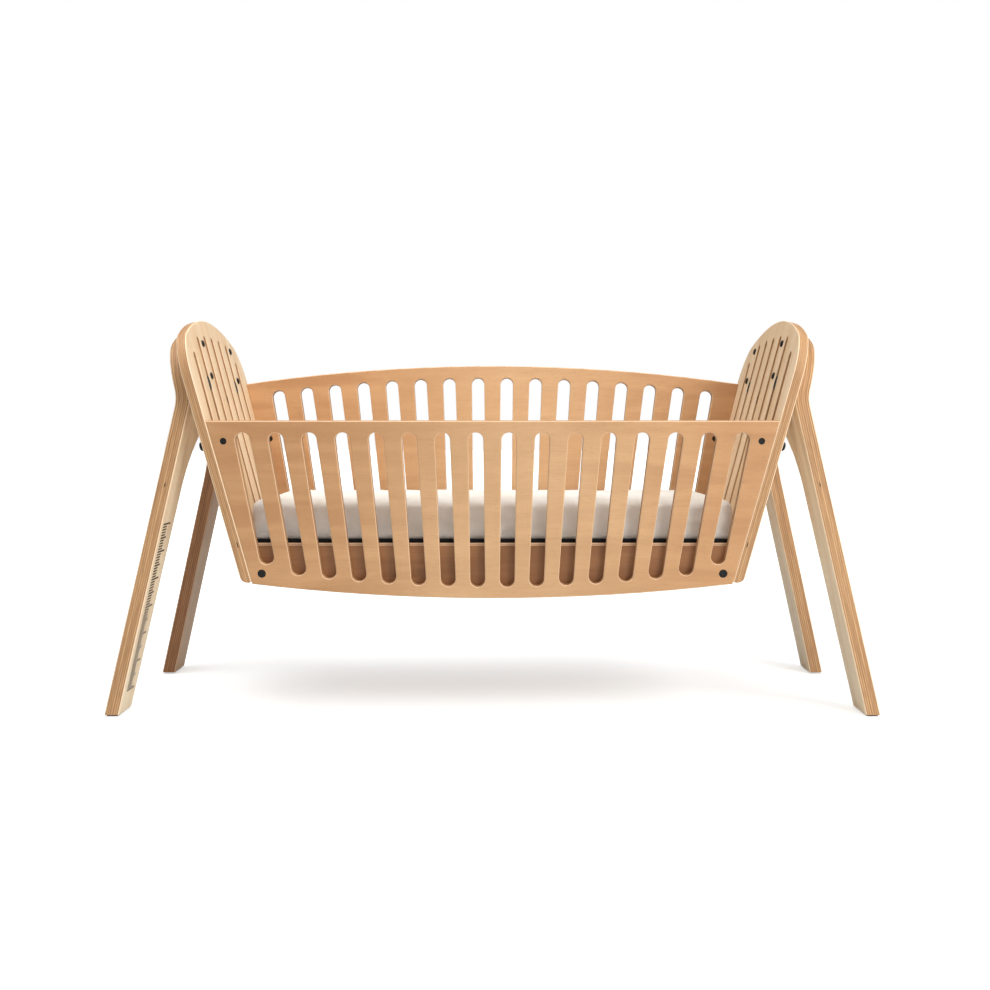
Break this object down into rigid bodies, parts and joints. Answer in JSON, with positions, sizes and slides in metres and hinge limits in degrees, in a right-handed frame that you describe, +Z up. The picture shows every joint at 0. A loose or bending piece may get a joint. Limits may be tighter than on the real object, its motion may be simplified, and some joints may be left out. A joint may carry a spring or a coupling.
{
  "type": "baby crib",
  "caption": "Plywood baby crib with leaning slotted end panels, fanned-slot side panels, bent-plywood leg frames bolted to the ends, and a loose quilted mattress on a raised base.",
  "frame": {"origin": "on the floor, under the middle of the crib", "axes": "+X along the crib towards its right end, +Y from the front to the back, +Z up"},
  "size_m": [1.3556, 0.5003, 0.709],
  "materials": {
    "plywood_end": "clear matt lacquer on pale birch plywood",
    "plywood_side": "clear matt lacquer on birch plywood",
    "plywood_leg": "clear matt lacquer on bent birch plywood",
    "plywood_base": "clear matt lacquer on birch plywood",
    "beech": "plain turned beech",
    "black_steel": "black oxide",
    "screw_steel": "zinc-plated steel",
    "insert_brass": "turned brass",
    "black_plastic": "matt black plastic",
    "foot_rubber": "matt black rubber",
    "black_mesh": "black open spacer mesh",
    "foam": "open-cell foam",
    "quilted_cotton": "off-white quilted cotton"
  },
  "bodies": {
    "crib": {"end_panel_right": "plywood_end", "end_panel_left": "plywood_end", "side_panel_front": "plywood_side", "side_panel_back": "plywood_side", "leg_frame_right": "plywood_leg", "leg_frame_left": "plywood_leg", "foot_pads": "foot_rubber", "leg_bolts_right": "black_steel", "leg_bolts_left": "black_steel", "leg_inserts_right": "insert_brass", "leg_inserts_left": "insert_brass", "slot_plugs_right": "black_plastic", "slot_plugs_left": "black_plastic", "corner_bolts_right": "black_steel", "corner_bolts_left": "black_steel", "barrel_nuts_right": "black_steel", "barrel_nuts_left": "black_steel", "dowels_right": "beech", "dowels_left": "beech", "base_rail_front": "plywood_base", "base_rail_back": "plywood_base", "base_cleat_right": "plywood_base", "base_cleat_left": "plywood_base", "cleat_screws_right": "screw_steel", "cleat_screws_left": "screw_steel", "rail_screws": "screw_steel", "board_screws": "screw_steel", "base_board": "plywood_base", "ventilation_mat": "black_mesh"},
    "mattress": {"mattress_core": "foam", "mattress_cover": "quilted_cotton"}
  },
  "joints": [
    {"name": "mattress_lift", "type": "slide", "parent": "crib", "child": "mattress", "axis": [0, 0, 1], "range_m": [0, 0.4]}
  ]
}
